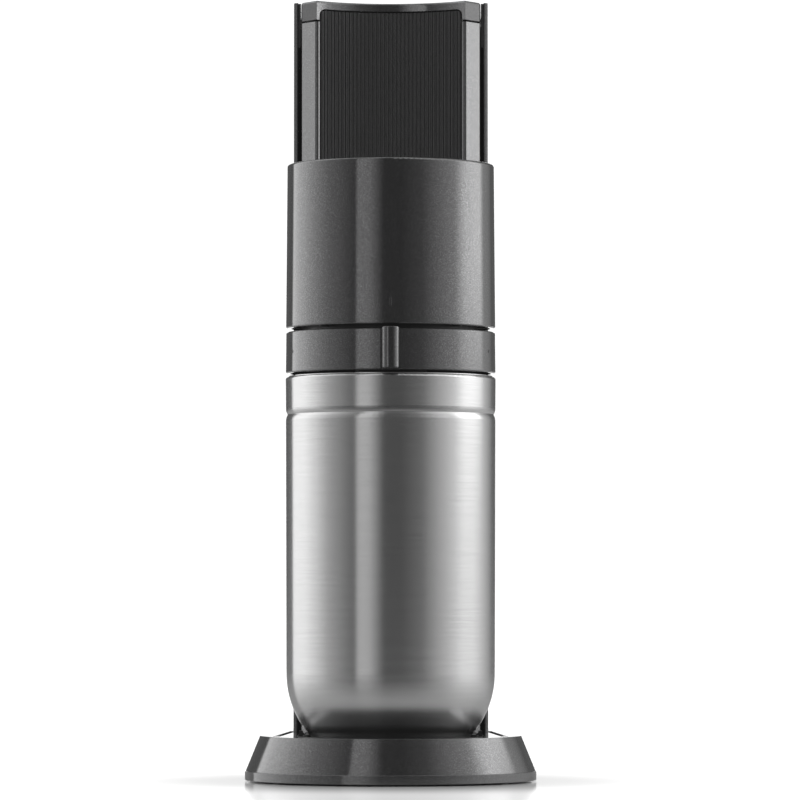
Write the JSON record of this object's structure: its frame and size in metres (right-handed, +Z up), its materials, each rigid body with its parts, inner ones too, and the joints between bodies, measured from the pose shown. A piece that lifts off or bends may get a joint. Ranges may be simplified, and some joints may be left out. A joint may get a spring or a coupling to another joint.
{
  "type": "soda carbonator",
  "caption": "Counter-top soda carbonator: ribbed tower on a rounded base, round head that slides up over a brushed steel bottle container that tilts out.",
  "frame": {"origin": "centre of the footprint on the counter, under the feet", "axes": "+Z up, front of the machine towards -Y, +X to the right seen from the front"},
  "size_m": [0.1624, 0.276, 0.4414],
  "materials": {
    "titanium_plastic": "dark metallic satin",
    "black_plastic": "matte black",
    "steel": "brushed",
    "zinc_steel": "satin",
    "rubber": "matte",
    "cylinder_paint": "gloss grey",
    "brass": "satin",
    "cast_alloy": "cast",
    "pale_nozzle": "satin"
  },
  "bodies": {
    "tower": {"base_shell": "titanium_plastic", "base_plate": "black_plastic", "base_feet": "rubber", "plate_screws": "zinc_steel", "deck_tray": "black_plastic", "tilt_pins": "zinc_steel", "detent_balls": "zinc_steel", "tower_sleeve": "titanium_plastic", "column_core": "titanium_plastic", "ribbed_panel": "black_plastic", "chassis_plate": "zinc_steel", "chassis_screws": "zinc_steel", "guide_rods": "zinc_steel", "rod_brackets": "black_plastic", "gas_cylinder": "cylinder_paint", "cylinder_valve": "brass", "cylinder_washer": "rubber", "cylinder_cup": "black_plastic", "cylinder_pad": "rubber", "valve_block": "cast_alloy", "valve_bracket": "zinc_steel", "relief_valve": "brass", "hose_nut": "brass", "gas_hose": "rubber", "hinge_posts": "zinc_steel", "hinge_pins": "zinc_steel", "pin_spring": "zinc_steel"},
    "head": {"head_shell": "titanium_plastic", "index_mark": "pale_nozzle", "ring_collar": "black_plastic", "head_screws": "zinc_steel", "carriage_frame": "zinc_steel", "slider_blocks": "black_plastic", "guide_bushes": "brass", "slider_elbow": "brass", "nozzle_block": "cast_alloy", "seal_holder": "black_plastic", "bottle_seal": "rubber", "nozzle_tube": "zinc_steel", "nozzle_tip": "pale_nozzle", "vent_valve": "brass", "arm_gas_line": "zinc_steel"},
    "lock_ring": {"lock_ring": "titanium_plastic", "ring_pins": "zinc_steel", "grip_tab": "titanium_plastic"},
    "button": {"button_cap": "titanium_plastic", "press_post": "black_plastic"},
    "valve_pin": {"valve_pin": "zinc_steel"},
    "container": {"container_shell": "steel", "container_rim": "steel", "bottle_pad": "rubber", "cradle_cup": "black_plastic", "cup_screws": "zinc_steel"},
    "rear_cover": {"rear_cover": "titanium_plastic", "cover_clips": "black_plastic"}
  },
  "joints": [
    {"name": "head_slide", "type": "slide", "parent": "tower", "child": "head", "axis": [0, 0, 1], "range_m": [0, 0.092], "deforming": ["gas_hose"]},
    {"name": "container_tilt", "type": "hinge", "parent": "tower", "child": "container", "pos_m": [0, -0.0568, 0.017], "axis": [1, 0, 0], "range_deg": [0, 7]},
    {"name": "lock_ring_turn", "type": "hinge", "parent": "head", "child": "lock_ring", "pos_m": [0, -0.0568, 0.238], "axis": [0, 0, 1], "range_deg": [0, 30]},
    {"name": "button_press", "type": "hinge", "parent": "tower", "child": "button", "pos_m": [0, 0.0052, 0.4317], "axis": [1, 0, 0], "range_deg": [-3.5, 0], "stiffness_Nm_per_rad": 5, "springref_deg": 8.59},
    {"name": "valve_pin_slide", "type": "slide", "parent": "tower", "child": "valve_pin", "axis": [0, 0, 1], "range_m": [-0.004, 0], "deforming": ["pin_spring"]},
    {"name": "cover_pull", "type": "slide", "parent": "tower", "child": "rear_cover", "axis": [0, 1, 0], "range_m": [0, 0.06]}
  ],
  "couplings": [
    {"joint": "container_tilt", "follows": "head_slide", "rad_per_m": 1.3278},
    {"joint": "valve_pin_slide", "follows": "button_press", "m_per_rad": 0.0652}
  ]
}
